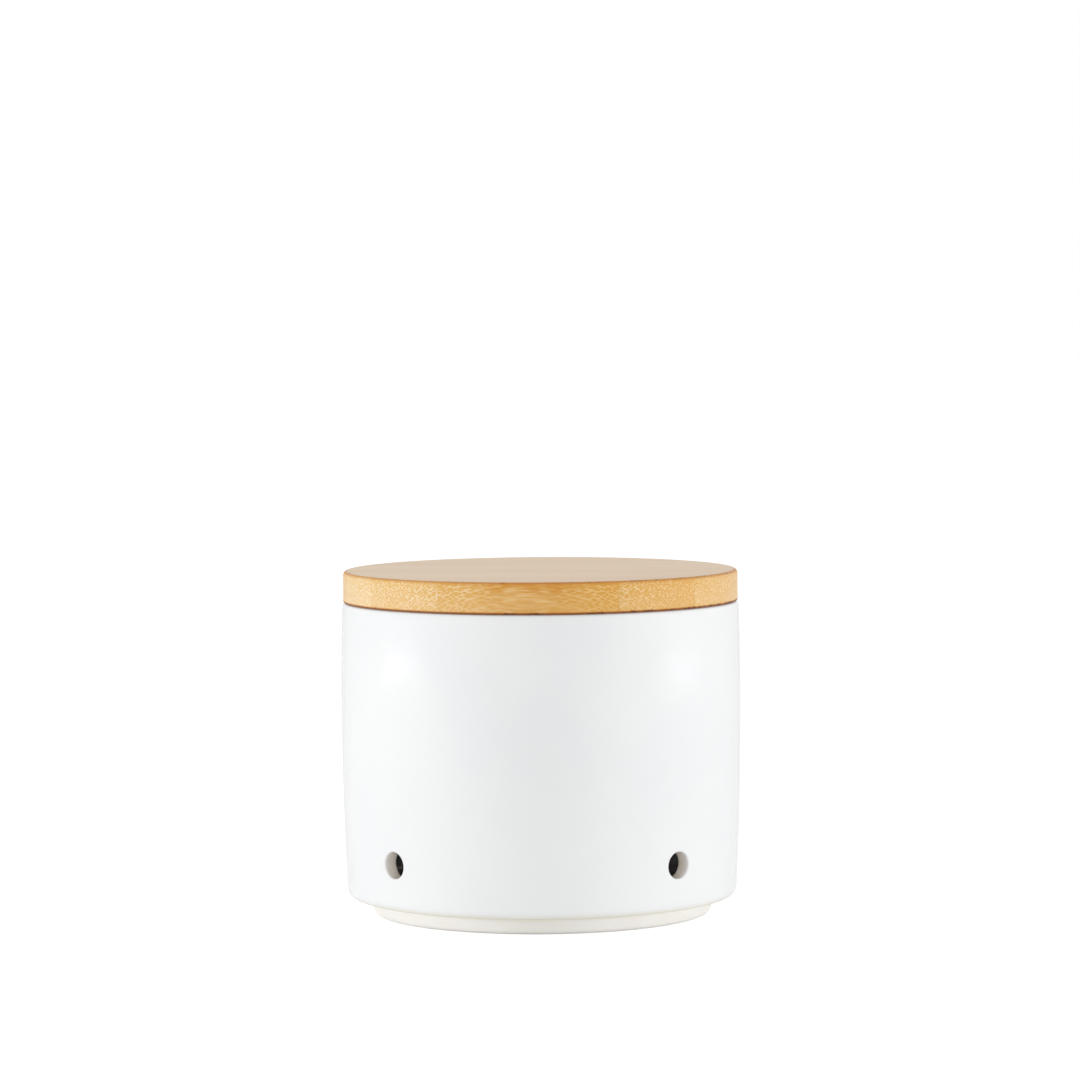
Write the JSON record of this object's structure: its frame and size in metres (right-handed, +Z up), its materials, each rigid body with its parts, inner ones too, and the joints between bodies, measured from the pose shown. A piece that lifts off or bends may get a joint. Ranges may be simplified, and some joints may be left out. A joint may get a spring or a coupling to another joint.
{
  "type": "garlic keeper",
  "caption": "Round glazed ceramic garlic keeper on a foot ring, with vent holes low in its wall, closed by a lift-off laminated bamboo lid with a silicone seal.",
  "frame": {"origin": "centre of the foot ring's underside, on the table", "axes": "+Z up along the pot's axis; +X and +Y each pass through a vent hole's centre line in plan; the picture's camera looks from azimuth 47 degrees, between the -Y and +X vent holes"},
  "size_m": [0.12, 0.12, 0.1031],
  "materials": {
    "glaze": "glossy white glaze, with the foot ring left bare and matt",
    "bamboo": "fine-sanded laminated bamboo with a satin oil finish",
    "silicone": "soft translucent white silicone"
  },
  "bodies": {
    "pot": {"pot": "glaze"},
    "seal": {"seal_ring": "silicone"},
    "lid": {"lid_strip_1": "bamboo", "lid_strip_2": "bamboo", "lid_strip_3": "bamboo", "lid_strip_4": "bamboo", "lid_strip_5": "bamboo", "lid_strip_6": "bamboo", "lid_strip_7": "bamboo", "lid_strip_8": "bamboo", "plug_strip_1": "bamboo", "plug_strip_2": "bamboo", "plug_strip_3": "bamboo", "plug_strip_4": "bamboo", "plug_strip_5": "bamboo", "plug_strip_6": "bamboo", "plug_strip_7": "bamboo"}
  },
  "joints": [
    {"name": "lid_lift", "type": "slide", "parent": "pot", "child": "seal", "axis": [0, 0, 1], "range_m": [0, 0.1]},
    {"name": "lid_turn", "type": "hinge", "parent": "seal", "child": "lid", "pos_m": [0, 0, 0.0896], "axis": [0, 0, 1], "continuous": true}
  ]
}
